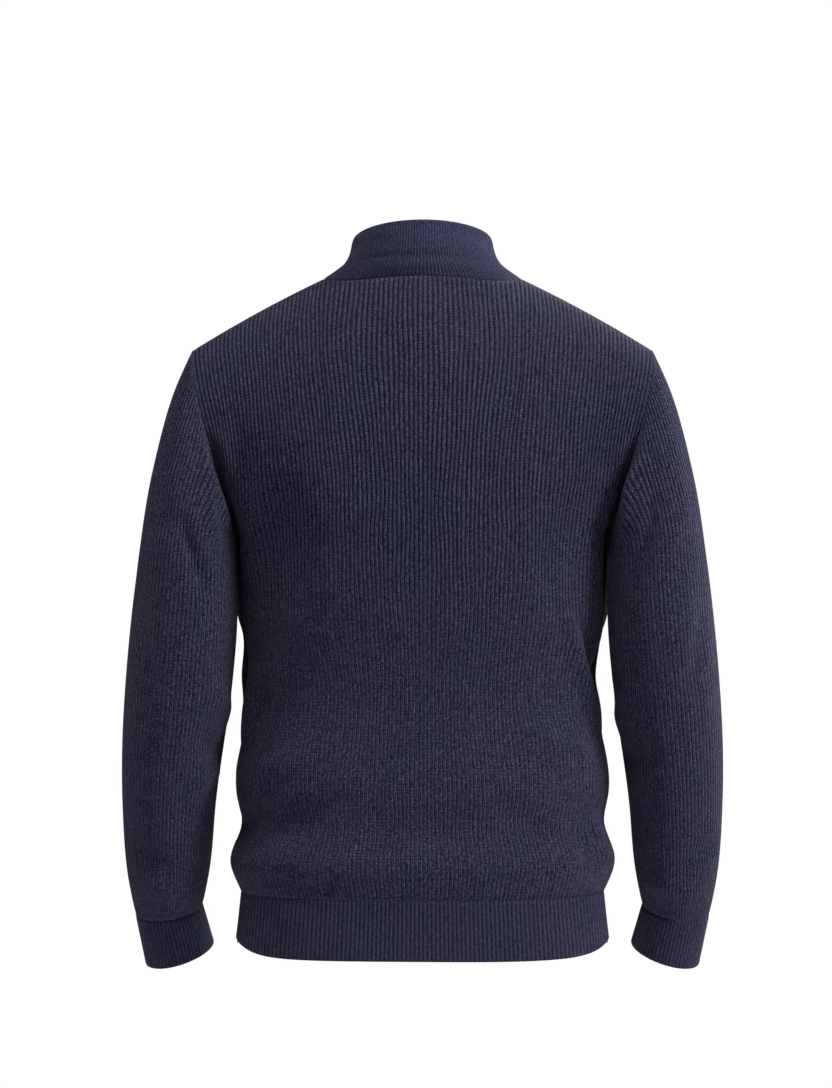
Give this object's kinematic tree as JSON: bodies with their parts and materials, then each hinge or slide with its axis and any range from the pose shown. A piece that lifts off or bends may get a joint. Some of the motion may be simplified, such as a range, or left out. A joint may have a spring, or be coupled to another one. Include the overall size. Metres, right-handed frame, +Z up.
{
  "type": "half-zip sweater",
  "caption": "Rib-knit half-zip sweater with a stand collar, ribbed hem and cuffs, hollow and filled out as worn, with a hinged zip pull tab.",
  "frame": {"origin": "midway between the two neck ends of the shoulder seams, inside the neck opening, where the wearer's shoulders carry the garment", "axes": "+Z up, -Y the garment's front, +X its left sleeve"},
  "size_m": [0.5998, 0.2492, 0.7463],
  "materials": {
    "body_knit": "navy heathered rib knit, matte",
    "rib_knit": "navy fine rib knit, matte",
    "zip_tape": "dark navy woven tape",
    "zip_metal": "dark gunmetal"
  },
  "bodies": {
    "garment": {"back": "body_knit", "front": "body_knit", "sleeve_left": "body_knit", "sleeve_right": "body_knit", "collar": "rib_knit", "hem_back": "rib_knit", "hem_front": "rib_knit", "cuff_left": "rib_knit", "cuff_right": "rib_knit", "zip_tape_left": "zip_tape", "zip_tape_right": "zip_tape", "zip_chain": "zip_metal", "zip_stop": "zip_metal", "zip_slider": "zip_metal"},
    "pull_tab": {"zip_pull_tab": "zip_metal"}
  },
  "joints": [
    {"name": "pull_tab_hinge", "type": "hinge", "parent": "garment", "child": "pull_tab", "pos_m": [0, -0.06085, 0.01213], "axis": [-1, 0, 0], "range_deg": [0, 150]}
  ]
}
